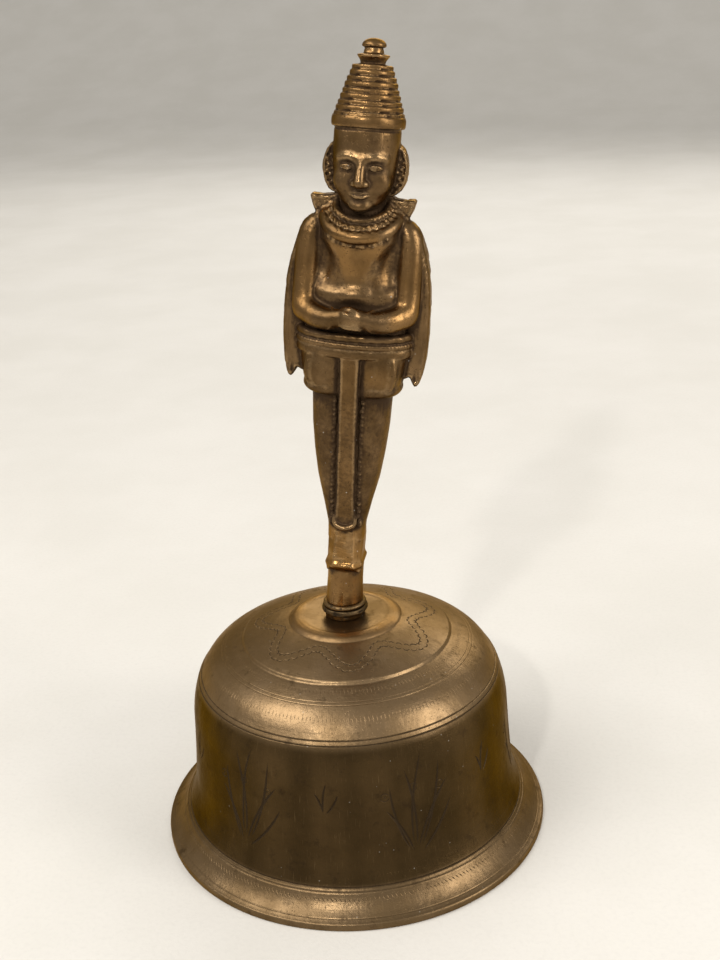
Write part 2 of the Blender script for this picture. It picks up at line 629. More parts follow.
def sculpt_head(clay):
    """A calm, plain face in a drawing book's thirds, and large ear plates with a raised rim.

    The face is three equal parts high, hairline to brow to nose to chin, and 2.6 parts wide.
    The head is five eyes wide, the nose one eye wide and the mouth one and a half.
    The ear plates are centred between brow and nose and reach 1.3 times the head's half width.
    """
    half = HEAD_HALF_WIDTH
    third = 2 * half / 2.6
    eye = 2 * half / 5
    brow_level = HAT_FOOT - third
    nose_level = brow_level - third
    chin_level = nose_level - third
    eye_level = brow_level - third / 3
    mouth_level = nose_level - third / 3
    front = -half * 1.02

    shares = ((chin_level - 0.06 * third, 0.26, 0.32, 0.28), (chin_level, 0.45, 0.54, 0.26),
              (chin_level + 0.25 * third, 0.64, 0.72, 0.20), (mouth_level, 0.82, 0.86, 0.13),
              (nose_level, 0.91, 0.95, 0.07), (eye_level, 0.98, 1.01, 0.03), (brow_level, 1.0, 1.02, 0.03),
              (HAT_FOOT + 1.0, 1.0, 1.03, 0.0))
    ovals = [(level, 0, -back * half, wide * half, deep * half) for level, wide, deep, back in shares]
    clay.add(column(ovals, power=2.15, edge=0.8), 0.5)
    chin = ball((0.0, -0.86 * half, chin_level + 0.16 * third), (0.28 * half, 0.18 * half, 0.2 * third))
    clay.add(chin, 1.4)
    cheek = ball((1.25 * eye, -0.68 * half, nose_level + 0.1 * third), (0.8 * eye, 0.6 * eye, 0.8 * eye))
    clay.add_pair(cheek, 1.6)

    socket = ball((eye, front - 0.5 * eye, eye_level), (0.75 * eye, 0.5 * eye, 0.4 * eye))
    clay.carve_pair(socket, 1.2)
    brow = [(0.35 * eye, front + 0.1, brow_level - 0.1, 0.26), (eye, front + 0.15, brow_level + 0.3, 0.3),
            (1.75 * eye, front + 1.5, brow_level - 0.1, 0.2)]
    clay.add_pair(bowed(brow), 1.3)
    clay.add_pair(ball((eye, front + 0.65, eye_level), (eye / 2 + 0.2, 0.3 * eye, 0.25 * eye)), 0.25)
    for rise, radius in ((0.45, 0.19), (-0.42, 0.13)):
        lid = [(eye / 2 - 0.1, front + 0.2, eye_level, radius * 0.7),
               (eye, front - 0.15, eye_level + rise, radius),
               (eye * 1.5 + 0.1, front + 0.85, eye_level, radius * 0.7)]
        clay.add_pair(bowed(lid), 0.27)

    nose = [(0, front + 0.4, brow_level - 0.1, 0.22 * eye), (0, front - 0.25, eye_level, 0.29 * eye),
            (0, front - 0.8, nose_level + 0.3 * third, 0.37 * eye),
            (0, front - 1.0, nose_level + 0.12 * third, 0.42 * eye)]
    clay.add(bowed(nose), 1.1)
    side = ball((eye / 2 - 0.2, front - 0.3, nose_level + 0.06 * third), (0.28 * eye, 0.3 * eye, 0.22 * eye))
    clay.add_pair(side, 0.6)

    mouth = 0.75 * eye
    for rise, dip, radius in ((0.3, 0.12, 0.36), (-0.45, -0.1, 0.48)):
        corner = [(mouth, front + 0.75, mouth_level, 0.18),
                  (mouth * 0.35, front + 0.05, mouth_level + rise, radius)]
        clay.add(bowed(across(corner, [(0, front, mouth_level + rise - dip, radius)])), 0.35)
    parting = across([(mouth, front + 0.45, mouth_level, 0.08)], [(0, front - 0.45, mouth_level, 0.13)])
    clay.carve(bowed(parting, 5), 0.2)

    ear_level = (brow_level + nose_level) / 2
    sweep = np.radians(np.linspace(-90, 90, 17))
    plate = [(half * (0.7 + 0.6 * math.cos(turn) ** 0.8), ear_level + 1.04 * third * math.sin(turn))
             for turn in sweep]

    def ear(x, y, z):
        plan = polygon_distance(np.abs(x), z, plate)
        wave = np.cos(z * 5.1 + 1.6 * np.sin(y * 2.7 + np.abs(x)))
        scales = 0.26 * wave * np.cos(y * 4.3 + 3.1 * np.abs(x) + np.sin(z * 1.7))
        rim = 0.16 * hump(plan + 0.38, 0.22)
        inset = share_of((-plan - 0.5) / 0.3)
        face = np.abs(y - 0.5) - 1.45 - rim + inset * (scales + 0.1)
        return smooth_max(face, plan, 0.5)

    clay.add((ear, (-9.0, -1.1, 87.0), (9.0, 2.6, 98.3)), 0.3)


def sculpt_hat(clay):
    """A tall hat of paired rings in five tiers, with a flared disc and a button on top."""
    tiers = ((0.0, 2.9, 7.2), (2.9, 5.0, 6.55), (5.0, 7.2, 5.85), (7.2, 9.4, 5.15), (9.4, 11.5, 4.35))
    tip = 16.35
    button = 2.35
    button_level = 14.95
    disc = ((11.4, 11.8, 12.4, 13.1, 13.35, 13.5, 14.2, 14.45), (2.7, 2.35, 2.6, 3.15, 3.1, 2.0, 1.85, 1.9))

    def radius_at(z):
        s = z - HAT_FOOT
        radius = by_level(s, *disc)
        for low, high, wide in tiers:
            split = low + (high - low) * (0.78 if low == 0.0 else 0.56)
            for ring_low, ring_high, base, swell in ((low, split, wide - 0.42, 0.42),
                                                     (split, high, wide - 0.72, 0.36)):
                half = (ring_high - ring_low) / 2
                bulge = np.maximum(1.0 - np.abs((s - ring_low - half) / half) ** 2.6, 0.0) ** 0.5
                inside = (s >= ring_low) & (s < ring_high)
                radius = np.where(inside, base + swell * bulge, radius)
        dome = np.maximum(1.0 - (np.maximum(s - button_level, 0.0) / 1.4) ** 2, 0.0) ** 0.5
        under = button - 0.9 * share_of((button_level - s) / 0.5) ** 2
        return np.where(s > 14.42, np.maximum(np.minimum(button * dome, under), 0.05), radius)

    foot = (0.0, 0.0, HAT_FOOT)
    clay.add(moved(turned(radius_at, HAT_FOOT, HAT_FOOT + tip, 7.6), foot, "X", HAT_TILT), 0.12)
    gap = hoop((0.0, 0.0, HAT_FOOT - 0.25), 6.75, 6.85, 0.3)
    clay.carve(moved(gap, foot, "X", HAT_TILT), 0.15)


def sculpt_figure():
    """The whole casting as clay, faced and drilled at its foot."""
    cell = 0.225
    clay = Clay((-16.5, -14.0, -3.2), (16.5, 8.5, 118.2), cell)
    for step in (sculpt_post_and_feet, sculpt_legs, sculpt_skirt, sculpt_trunk, sculpt_belt, sculpt_wings,
                 sculpt_arms, sculpt_collar, sculpt_head, sculpt_hat):
        step(clay)

    def upright(x, z):
        """Sideways place and height in the bell's frame, from the seat's centre."""
        lifted = z + POST_BELOW
        return (x * math.cos(LEAN) + lifted * math.sin(LEAN),
                lifted * math.cos(LEAN) - x * math.sin(LEAN))

    def below_seat(x, y, z):
        return upright(x, z)[1] + 0.0 * y

    def socket(x, y, z):
        across, height = upright(x, z)
        side = np.sqrt(across * across + y * y) - SOCKET_RADIUS
        return np.maximum(side, height - SOCKET_DEPTH)

    clay.carve((below_seat, (-6, -6, -3.2), (6, 6, 0.2)), 0.1)
    clay.carve((socket, (-4, -4, -2.2), (4, 4, 10.0)), 0.1)
    return clay


# ------------------------------------------------------------------ meshes

def value_noise(points, scale, seed):
    """Smooth noise between -1 and 1, with features about scale mm across."""
    rng = np.random.default_rng(seed)
    table = rng.uniform(-1, 1, (32, 32, 32))
    place = points / scale
    base = np.floor(place).astype(int)
    part = place - base
    part = part * part * (3 - 2 * part)
    total = np.zeros(len(points))
    for corner in range(8):
        bits = np.array([corner & 1, corner >> 1 & 1, corner >> 2 & 1])
        weight = np.prod(np.where(bits, part, 1 - part), axis=1)
        i, j, k = ((base + bits) % 32).T
        total += weight * table[i, j, k]
    return total


def new_mesh(name, points, faces):
    """A mesh object from points in mm."""
    mesh = bpy.data.meshes.new(name)
    mesh.from_pydata((np.asarray(points) * MM).tolist(), [], [tuple(face) for face in faces])
    mesh.update()
    thing = bpy.data.objects.new(name, mesh)
    bpy.context.scene.collection.objects.link(thing)
    return thing


def store(thing, name, values):
    """Keep one number per point on a mesh, for its material to read."""
    layer = thing.data.attributes.new(name, "FLOAT", "POINT")
    layer.data.foreach_set("value", np.asarray(values, np.float32))


def mesh_points(thing):
    """A mesh's points in mm."""
    flat = np.zeros(len(thing.data.vertices) * 3, np.float32)
    thing.data.vertices.foreach_get("co", flat)
    return flat.reshape(-1, 3) / MM


def apply_modifiers(thing):
    """Make an object's modifiers part of its mesh."""
    graph = bpy.context.evaluated_depsgraph_get()
    mesh = bpy.data.meshes.new_from_object(thing.evaluated_get(graph))
    thing.modifiers.clear()
    thing.data = mesh


def smooth_shade(thing):
    """Smooth shading on every face."""
    thing.data.polygons.foreach_set("use_smooth", np.ones(len(thing.data.polygons), bool))
    thing.data.update()


FACE_BUDGET = 190000


def collar_rim(y):
    """The level of the collar's upper edge, which rises from front to back."""
    return 86.7 + 0.53 * (y + COLLAR_FORWARD)


def coarse_places(points):
    """Where the casting was never smoothed: ears, the inside of the collar, seams and wing edges."""
    x, y, z = np.abs(points[:, 0]), points[:, 1], points[:, 2]
    ears = (x > 6.7) & (z > 87.0) & (z < 98.5)
    inside = (z > 81.5) & (z < collar_rim(y)) & (np.hypot(x, y + COLLAR_FORWARD) < 7.6)
    collar = inside | (x > 8.0) & (z > 84.5) & (z < 88.5)
    seams = (x > 2.2) & (x < 3.5) & (z > 19.0) & (z < 55.0) & (y < -3.0)
    edges = (x > 13.0) & (z > 48.0)
    return np.where(ears | collar | seams | edges, 1.0, 0.0)


def sooty_places(points):
    """Where oil and soot gather: beside the shirt front, under the forearms, and down the legs."""
    x, y, z = np.abs(points[:, 0]), points[:, 1], points[:, 2]
    hollow = np.exp(-((x - 6.7) / 1.5) ** 2 - ((z - 74.6) / 3.4) ** 2)
    shade = hump(z - 62.2, 0.9) * (x < 11.0)
    legs = 0.26 * share_of((z - 16.0) / 4.0) * share_of((52.0 - z) / 6.0)
    return (0.42 * hollow + 0.35 * shade) * (y < -1.5) + legs


def pleats(points):
    """Ragged folds inside the collar."""
    x, y, z = points.T
    turn = np.arctan2(x, -y - COLLAR_FORWARD)
    inside = share_of((7.4 - np.hypot(x, y + COLLAR_FORWARD)) / 0.8)
    level = share_of(z - 80.5) * share_of((collar_rim(y) - z) / 0.8)
    ragged = np.sin(turn * 31.0 + 2.2 * z + 2.0 * value_noise(points, 1.7, 51))
    return 0.13 * ragged * inside * level


def golden_places(points):
    """Where handling keeps the casting golden."""
    x, y, z = points.T
    front = rising(-3.2 - y, 0.4)

    def band(low, high, soft=0.6):
        return rising(z - low, soft) * rising(high - z, soft)

    def within(half):
        return rising(half - np.abs(x), 0.25)

    post = 0.6 * band(-3.0, 8.0)
    block = band(8.2, 17.6, 0.3)
    sash = 0.28 * band(19.5, 56.0) * within(2.0) * front
    skirt = 0.35 * band(50.5, 55.5) * within(8.5) * front * (x > 0)
    shirt = 0.55 * band(71.5, 79.5) * within(6.5) * front
    arms = 0.45 * band(63.0, 81.0) * (1.0 - within(7.8)) * front
    hat = 0.35 * band(101.0, 117.0)
    collar = 0.6 * band(79.0, 82.0) * within(4.5) * front
    gold = np.maximum.reduce([post, block, sash, skirt, shirt, arms, hat, collar])
    gold = gold * (1.0 + 0.35 * value_noise(points, 2.4, 8)) + 0.08 * value_noise(points, 3.0, 9)
    return share_of(gold)


def settled(clay, points):
    """Points of the clay's skin moved on to its true surface, in a few short steps."""
    for _ in range(3):
        slope = clay.slope(points)
        length = np.maximum((slope * slope).sum(1), 0.05)
        step = clay.sample(points) / length
        step = np.clip(step, -0.5 * clay.cell, 0.5 * clay.cell)
        points = points - slope * step[:, None]
    return points


def clearance(clay, points, normal, reaches, side):
    """How open it is outside the surface (side 1), or how solid inside it (side -1); about 1 if flat."""
    total = np.zeros(len(points))
    for reach in reaches:
        total += np.clip(side * clay.sample(points + side * normal * reach) / reach, 0.0, 1.2) / len(reaches)
    return total


def scraped(points):
    """The worn, uneven front of the block."""
    block = (points[:, 2] > 9.4) & (points[:, 2] < 16.8) & (points[:, 1] < -3.0)
    return block * (0.45 + 0.5 * value_noise(points, 0.9, 61))


def as_cast(points, normal, closed):
    """Points moved by a casting's grain and pits, coarser where never smoothed, and by the pleats."""
    grain = value_noise(points, 1.6, 3) * 0.030 + value_noise(points, 0.75, 4) * 0.022
    pits = share_of(value_noise(points, 0.62, 5) - 0.45) * 0.12
    rough = 0.45 + 0.65 * share_of(closed * 3.0) + 2.4 * coarse_places(points)
    return points + normal * ((grain - pits) * rough + pleats(points) * (points[:, 1] < 3.0))[:, None]


def stood_in_place(points):
    """From the figure's own frame to the bell's: bent slightly, leaned, and faced at the post's foot."""
    bend = -BEND * np.sin(math.pi * share_of(points[:, 2] / FIGURE_HEIGHT))
    points = points + np.stack([bend, 0 * bend, 0 * bend], axis=1)
    tilt = np.array(Matrix.Rotation(LEAN, 3, "Y"))
    placed = (points + np.array([0.0, 0.0, POST_BELOW])) @ tilt.T + np.array([0.0, 0.0, POST_FOOT])
    placed[:, 2] = np.maximum(placed[:, 2], POST_FOOT)
    return placed


def make_figure():
    """The casting, skinned from clay, with what its metal needs to know kept on its points."""
    clay = sculpt_figure()
    points, quads = clay.skin()
    figure = new_mesh("figure_casting", settled(clay, points), quads)
    triangles = len(quads) * 2
    if triangles > FACE_BUDGET:
        thin = figure.modifiers.new("thin", "DECIMATE")
        thin.ratio = FACE_BUDGET / triangles
        apply_modifiers(figure)
    points = mesh_points(figure).astype(float)
    normal = clay.normal(points)
    closed = 1.0 - clearance(clay, points, normal, (0.5, 1.0, 1.6), 1)
    solid = clearance(clay, points, normal, (0.4, 0.8), -1)
    store(figure, "cavity", share_of(closed * 1.6 + sooty_places(points)))
    store(figure, "wear", share_of((1.02 - solid) * 2.4 + scraped(points)))
    store(figure, "gold", golden_places(points))
    placed = stood_in_place(as_cast(points, normal, closed))
    figure.data.vertices.foreach_set("co", (placed * MM).astype(np.float32).ravel())
    smooth_shade(figure)
    return figure


# ------------------------------------------------------------------ small turned parts

SEAT_LEVEL = 50.85


def make_worn_ring(name, node, crown, seed, rough, neck=0.0):
    """A ring under the post, rounded, uneven and eaten by years of polish; its foot may be a neck."""
    low, high = (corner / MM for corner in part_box(node))
    if neck:
        low.z = SEAT_LEVEL
    radius = high.x
    half = (high.z - low.z) / 2
    middle = (high.z + low.z) / 2
    wide = radius + 0.6
    clay = Clay((-wide, -wide, low.z - 0.4), (wide, wide, high.z + 0.4), 0.13)

    def ring(x, y, z):
        belly = radius - 0.02 - crown * ((z - middle) / half) ** 2
        belly = belly - neck / (1.0 + np.exp((z - middle - 0.1 * half) / 0.1))
        return smooth_max(np.sqrt(x * x + y * y) - belly, np.abs(z - middle) - half + 0.005, 0.25)

    def hole(x, y, z):
        return np.sqrt(x * x + y * y) - SOCKET_RADIUS + 0.0 * z

    clay.add((ring, (-radius, -radius, low.z), (radius, radius, high.z)), 0.05)
    clay.carve((hole, (-3, -3, low.z - 0.4), (3, 3, high.z + 0.4)), 0.05)
    points, quads = clay.skin()
    normal = clay.normal(points)
    points = points - normal * np.clip(clay.sample(points), -0.1, 0.1)[:, None]
    outside = share_of((np.hypot(points[:, 0], points[:, 1]) - 3.0) / 0.5)
    upright = share_of(1.0 - np.abs(normal[:, 2]))
    hollow = share_of(value_noise(points, 0.8, seed) - 0.1) * rough
    hollow += share_of(value_noise(points, 0.35, seed + 1) - 0.3) * rough * 0.6
    points = points - normal * (hollow * outside * upright)[:, None]
    thing = new_mesh(name, points, quads)
    store(thing, "cavity", share_of(hollow / rough * 0.8))
    smooth_shade(thing)
    return thing


# ------------------------------------------------------------------ the cup

SIDES = 288
TURN = 2 * math.pi
UNROLL_RADIUS = 36.0
RIM_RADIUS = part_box("bell_body")[1].x / MM
BOLT_HOLE = 2.4
CEILING = 47.4  # the flat inside, round the bolt
MESH_STEP = 0.2

# Corners of the outlines, as (radius, height).
FLARE_TOP = (39.55, 5.9)
STEP_FOOT = (23.9, 46.0)
STEP_WAIST = (23.25, 46.55)
STEP_TOP = (22.75, 46.95)
BOSS_FOOT = (12.75, 50.05)
BOSS_WAIST = (12.4, 50.3)
BOSS_EDGE = (10.9, 51.05)
BOSS_TOP = (9.4, 51.05)
SEAT_EDGE = (5.4, SEAT_LEVEL)
CEILING_EDGE = (9.0, CEILING)
LIP_INSIDE = (RIM_RADIUS - 2.0, 0.25)
LIP_FOOT = (RIM_RADIUS - 1.7, 0.0)


def arc_points(start, finish, radius):
    """Points along an arc after its start; it bends left when the radius is positive, else right."""
    start, finish = np.array(start, float), np.array(finish, float)
    chord = finish - start
    half = np.linalg.norm(chord) / 2
    rise = math.sqrt(max(radius * radius - half * half, 0.0))
    side = np.array([-chord[1], chord[0]]) / (2 * half) * math.copysign(1.0, radius)
    centre = (start + finish) / 2 + side * rise
    a = math.atan2(*(start - centre)[::-1])
    sweep = math.copysign(2 * math.asin(half / abs(radius)), radius)
    count = max(int(abs(sweep * radius) / MESH_STEP), 2)
    angles = a + sweep * np.arange(1, count + 1) / count
    return centre + abs(radius) * np.stack([np.cos(angles), np.sin(angles)], axis=1)


def line_points(start, finish):
    """Points along a straight run after its start."""
    start, finish = np.array(start, float), np.array(finish, float)
    count = max(int(np.linalg.norm(finish - start) / MESH_STEP), 1)
    return start + (finish - start) * (np.arange(1, count + 1) / count)[:, None]


def outline(start, runs):
    """An outline in (radius, height) from runs of (radius, height) or (radius, height, bend)."""
    points = [np.array([start], float)]
    here = start
    for run in runs:
        piece = arc_points(here, run[:2], run[2]) if len(run) == 3 else line_points(here, run)
        points.append(piece)
        here = run[:2]
    return np.concatenate(points)


class Profile:
    """A turned outline, read by its arc length."""

    def __init__(self, points):
        self.points = points
        steps = np.linalg.norm(np.diff(points, axis=0), axis=1)
        self.along = np.concatenate([[0.0], np.cumsum(steps)])
        self.length = self.along[-1]

    def at(self, u):
        """The (radius, height) at an arc length."""
        return np.stack([np.interp(u, self.along, self.points[:, i]) for i in (0, 1)], axis=-1)

    def normal(self, u):
        """The outward normal, softened over a short way to each side."""
        soft = 0.12
        ahead = self.at(np.clip(u + soft, 0, self.length)) - self.at(np.clip(u - soft, 0, self.length))
        ahead /= np.maximum(np.linalg.norm(ahead, axis=-1, keepdims=True), 1e-9)
        return np.stack([ahead[..., 1], -ahead[..., 0]], axis=-1)

    def find(self, radius, height):
        """The arc length of the nearest point of the outline."""
        gap = np.hypot(self.points[:, 0] - radius, self.points[:, 1] - height)
        return self.along[int(np.argmin(gap))]


def outer_profile():
    """The outer face from the rim's foot to the bolt hole."""
    return Profile(outline((RIM_RADIUS - 0.35, 0.0), [
        (RIM_RADIUS, 0.35, 0.35),
        (RIM_RADIUS, 1.3),
        (RIM_RADIUS - 0.55, 1.82, 0.6),
        (*FLARE_TOP, -9.5),
        (38.6, 7.0, -3.0),
        (36.7, 14.0, -24.0),
        (35.7, 30.0, -300.0),
        (33.9, 38.0, 26.0),
        (33.1, 39.1, 8.0),
        (28.0, 44.2, 12.0),
        (*STEP_FOOT, 34.0),
        (*STEP_WAIST, -0.7),
        (*STEP_TOP, 0.7),
        (*BOSS_FOOT, 46.0),
        (*BOSS_WAIST, -0.4),
        (*BOSS_EDGE, 2.2),
        (*BOSS_TOP, 3.0),
        SEAT_EDGE,
        (BOLT_HOLE, SEAT_LEVEL),
    ]))


def inner_profile():
    """The inner face, from the bolt hole down to the mouth and across the rim's rest face."""
    return Profile(outline((BOLT_HOLE, SEAT_LEVEL), [
        (BOLT_HOLE, CEILING),
        CEILING_EDGE,
        (27.36, 42.3, -46.0),
        (30.7, 37.6, -11.0),
        (34.3, 14.0, -150.0),
        (36.44, 6.28, 24.0),
        (*LIP_INSIDE, 6.6),
        (*LIP_FOOT, 0.3),
        (RIM_RADIUS - 0.35, 0.0),
    ]))


class Engraving:
    """Cuts on the cup's outer face. Each is a tapered V, kept in (turn angle, arc length)."""

    def __init__(self, profile):
        self.profile = profile
        self.cuts = []

    def stroke(self, angle, u, path, width, depth):
        """A cut along a path of (across, along) mm from a place on the face.

        A cut that would cross the seam of the unrolled face, at the back, is left out.
        """
        path = np.array(path, float)
        radius = self.profile.at(u)[0]
        reach = (np.abs(path[:, 0]).max() + width) / radius
        if not reach < angle < TURN - reach:
            return
        ahead = np.gradient(path, axis=0)
        ahead /= np.maximum(np.linalg.norm(ahead, axis=1), 1e-9)[:, None]
        side = np.stack([-ahead[:, 1], ahead[:, 0]], axis=1)
        part = np.linspace(0, 1, len(path))
        half = width * 0.5 * np.sqrt(np.maximum(1 - (2 * part - 1) ** 2, 0))
        self.cuts.append((angle, u, radius, path, side, half, depth))

    def circle(self, angle, u, size, width, depth):
        """A punched ring, as two half circles."""
        for start in (0.0, math.pi):
            turn = start + np.linspace(0.0, math.pi, 9)
            path = size * np.stack([np.cos(turn), np.sin(turn)], axis=1)
            self.stroke(angle, u, path, width, depth)

    def depth_at(self, angle, u):
        """How deep the cuts go at places on the face."""
        deepest = np.zeros(len(angle))
        for centre, base, radius, path, _, half, depth in self.cuts:
            low = path.min(0) - half.max()
            high = path.max(0) + half.max()
            x = (angle - centre) * radius
            y = u - base
            near = np.flatnonzero((x > low[0]) & (x < high[0]) & (y > low[1]) & (y < high[1]))
            if not len(near):
                continue
            px, py = x[near], y[near]
            best = np.zeros(len(near))
            for a, b, ha, hb in zip(path[:-1], path[1:], half[:-1], half[1:]):
                along = b - a
                part = np.clip(((px - a[0]) * along[0] + (py - a[1]) * along[1])
                               / max(along @ along, 1e-9), 0.0, 1.0)
                gap = np.hypot(px - a[0] - part * along[0], py - a[1] - part * along[1])
                wide = ha + (hb - ha) * part
                fall = np.where(wide > 1e-6, 1.0 - gap / np.maximum(wide, 1e-6), 0.0)
                best = np.maximum(best, np.clip(fall, 0, 1) * depth * wide / max(half.max(), 1e-6))
            deepest[near] = np.maximum(deepest[near], best)
        return deepest


def punch_ticks(work, rng, radius, height, long, pitch, lean, width, depth, jitter):
    """A band of short upright ticks."""
    u = work.profile.find(radius, height)
    count = int(TURN * radius / pitch)
    for index in range(count):
        angle = (index + 0.5) / count * TURN
        size = long * rng.uniform(1 - jitter, 1.0) / 2
        drift = rng.uniform(-jitter, jitter) * 0.3
        path = [(-lean * size, -size + drift), (0, drift), (lean * size, size + drift)]
        work.stroke(angle, u, path, width, depth)


def punch_vine(work, rng):
    """A vine on the crown: a sine wave with small bent marks on both sides of its line."""
    radius = 17.4
    u = work.profile.find(radius, 48.9)
    waves = 7
    wave_height = 2.7
    marks = 96
    beside = 0.38
    for index in range(marks):
        angle = (index + 0.5) / marks * TURN
        wave = waves * (angle - math.pi)
        rise = wave_height * math.sin(wave)
        slope = math.atan2(wave_height * waves * math.cos(wave) / radius, 1.0)
        for side in (1, -1):
            bend = slope + np.linspace(-1.6, 1.6, 7) + (math.pi / 2) * side
            size = 0.62 * rng.uniform(0.85, 1.15)
            path = size * np.stack([np.cos(bend), np.sin(bend)], axis=1)
            path += [-beside * side * math.sin(slope), rise + beside * side * math.cos(slope)]
            work.stroke(angle, u, path, 0.42, 0.085)


FAN_START = -32.0
FAN_SPAN = 76.0


def cut_tuft(work, rng, angle, level, blades, tallest, width):
    """Bowed blades fanned over the same degrees from just outside one foot, longest in the middle."""
    part = np.linspace(0.12, 1, 9)
    for number in range(blades):
        share = (number + 0.5) / blades
        length = tallest * (0.5 + 0.5 * math.sin(math.pi * share)) * rng.uniform(0.93, 1.07)
        bow = 0.06 * (-1) ** number
        lean = math.radians(FAN_START + FAN_SPAN * share)
        ahead = np.array([-math.sin(lean), math.cos(lean)])
        side = np.array([-ahead[1], ahead[0]])
        path = part[:, None] * ahead * length + (4 * part * (1 - part))[:, None] * side * bow * length
        work.stroke(angle, level, path, width, 0.20)


def cut_reeds(work, rng):
    """Tufts of reed round the wall with punched rings between their blades, and a sprig between tufts."""
    tufts = 6
    blades = 7
    tallest = 24.0
    foot = work.profile.find(37.1, 10.6)
    for index in range(tufts):
        angle = (index + 0.5) / tufts * TURN
        cut_tuft(work, rng, angle, foot, blades, tallest, 0.78)
        cut_tuft(work, rng, angle + TURN / tufts / 2, foot + tallest / 2, 3, tallest / 3, 0.62)
        for number in range(1, blades, 2):
            lean = math.radians(FAN_START + FAN_SPAN * number / blades)
            aside = -0.7 * tallest * math.sin(lean) / UNROLL_RADIUS
            along = 0.7 * tallest * math.cos(lean)
            for size, width, depth in ((0.9, 0.30, 0.10), (0.2, 0.24, 0.09)):
                work.circle(angle + aside, foot + along, size, width, depth)


def engrave(profile):
    """The ornament: ticked bands, a vine on the crown, and reeds round the wall."""
    rng = np.random.default_rng(11)
    work = Engraving(profile)
    bands = (
        (25.3, 45.45, 1.7, 0.80, 0.06, 0.24, 0.030, 0.35),
        (30.8, 42.2, 1.9, 0.86, 0.05, 0.26, 0.030, 0.5),
        (40.2, 4.9, 1.2, 0.92, 0.75, 0.30, 0.045, 0.2),
        (37.75, 8.9, 1.7, 0.78, 0.10, 0.20, 0.035, 0.6),
    )
    for band in bands:
        punch_ticks(work, rng, *band)
    punch_vine(work, rng)
    cut_reeds(work, rng)
    return work


def turned_lines(profile):
    """The lathe's own lines: (arc length, half width, depth)."""
    places = [
        (39.25, 6.25, 0.20, 0.07), (38.75, 6.85, 0.24, 0.14), (42.8, 2.35, 0.20, 0.04),
        (33.9, 38.0, 0.24, 0.16), (33.2, 38.95, 0.22, 0.13),
        (28.2, 44.1, 0.16, 0.045), (27.4, 44.5, 0.14, 0.035),
    ]
    return [(profile.find(radius, height), half, depth) for radius, height, half, depth in places]


def cup_rows(outer, lines):
    """Arc lengths of the mesh's rows round the outer face: even steps, closer at corners and lines."""
    rows = set(np.round(np.linspace(0, outer.length, int(outer.length / 1.25)), 4))
    for place in ((RIM_RADIUS, 0.3), (RIM_RADIUS, 1.3), (RIM_RADIUS - 0.3, 1.6), FLARE_TOP, STEP_FOOT,
                  STEP_WAIST, STEP_TOP, BOSS_FOOT, BOSS_WAIST, (11.9, 50.75), BOSS_EDGE, BOSS_TOP, SEAT_EDGE):
        u = outer.find(*place)
        rows.update(np.round([u - MESH_STEP, u, u + MESH_STEP], 4))
    creases = set()
    for u, half, _ in lines:
        rows = {row for row in rows if abs(row - u) > half * 1.35}
        creases.update(np.round([u - half, u, u + half], 4))
    rows = {row for row in rows if 0.0 <= row <= outer.length}
    kept = sorted(rows | creases | {0.0, round(float(outer.length), 4)})
    return [row for index, row in enumerate(kept)
            if index == 0 or row - kept[index - 1] > 0.07 or row in creases or row >= round(outer.length, 4)]


def unrolled(work, rows):
    """The outer face laid flat: points and faces that follow the rows and every cut."""
    verts = []
    edges = []

    def chain(run):
        base = len(verts)
        verts.extend(Vector(point) for point in run)
        edges.extend((base + index, base + index + 1) for index in range(len(run) - 1))

    for row in rows:
        chain([(TURN * side / SIDES * UNROLL_RADIUS, row) for side in range(SIDES + 1)])
    for angle, u, radius, path, side, half, _ in work.cuts:
        scale = np.array([UNROLL_RADIUS / radius, 1.0])
        anchor = np.array([angle * UNROLL_RADIUS, u])
        spine = anchor + path * scale
        chain(spine)
        for way in (1, -1):
            edge = anchor + (path + way * side * half[:, None]) * scale
            edge[[0, -1]] = spine[[0, -1]]
            chain(edge)
    flat, _, faces, *_ = delaunay_2d_cdt(verts, edges, [], 0, 1e-4)
    return np.array([(v.x, v.y) for v in flat]), [list(face) for face in faces]


def spun(place, angle):
    """Points from (radius, height) pairs, at angles round the upright axis."""
    return np.stack([place[..., 0] * np.sin(angle), place[..., 0] * np.cos(angle),
                     place[..., 1] + 0.0 * angle], axis=-1)


def outer_skin():
    """The outer face with its ornament: points, normals, faces, which faces are cut, and grime."""
    outer = outer_profile()
    work = engrave(outer)
    lines = turned_lines(outer)
    flat, faces = unrolled(work, cup_rows(outer, lines))
    angle = flat[:, 0] / UNROLL_RADIUS
    u = flat[:, 1]
    sunk = work.depth_at(angle, u)
    groove = np.zeros(len(u))
    for place, half, depth in lines:
        groove = np.maximum(groove, depth * share_of(1.0 - np.abs(u - place) / half))
    wobble = 0.020 * np.sin(3 * angle + 0.11 * u) + 0.014 * np.sin(7 * angle + 1.3) * np.sin(0.21 * u)
    wobble += 0.05 * np.exp(-u / 2.5) * (np.sin(5 * angle + 1.0) + 0.7 * np.sin(13 * angle) - 1.2)
    fade = share_of(u / 2.0) * share_of((outer.length - u) / 8.0)
    cut_depth = np.maximum(sunk, groove)
    normal = outer.normal(u)
    place = outer.at(u) - normal * (cut_depth - wobble * fade)[:, None]
    in_cut = [max(cut_depth[v] for v in face) > 0.004 for face in faces]
    grime = share_of(np.maximum(sunk * 11.0, groove * 4.5))
    return spun(place, angle), spun(normal, angle), faces, in_cut, grime


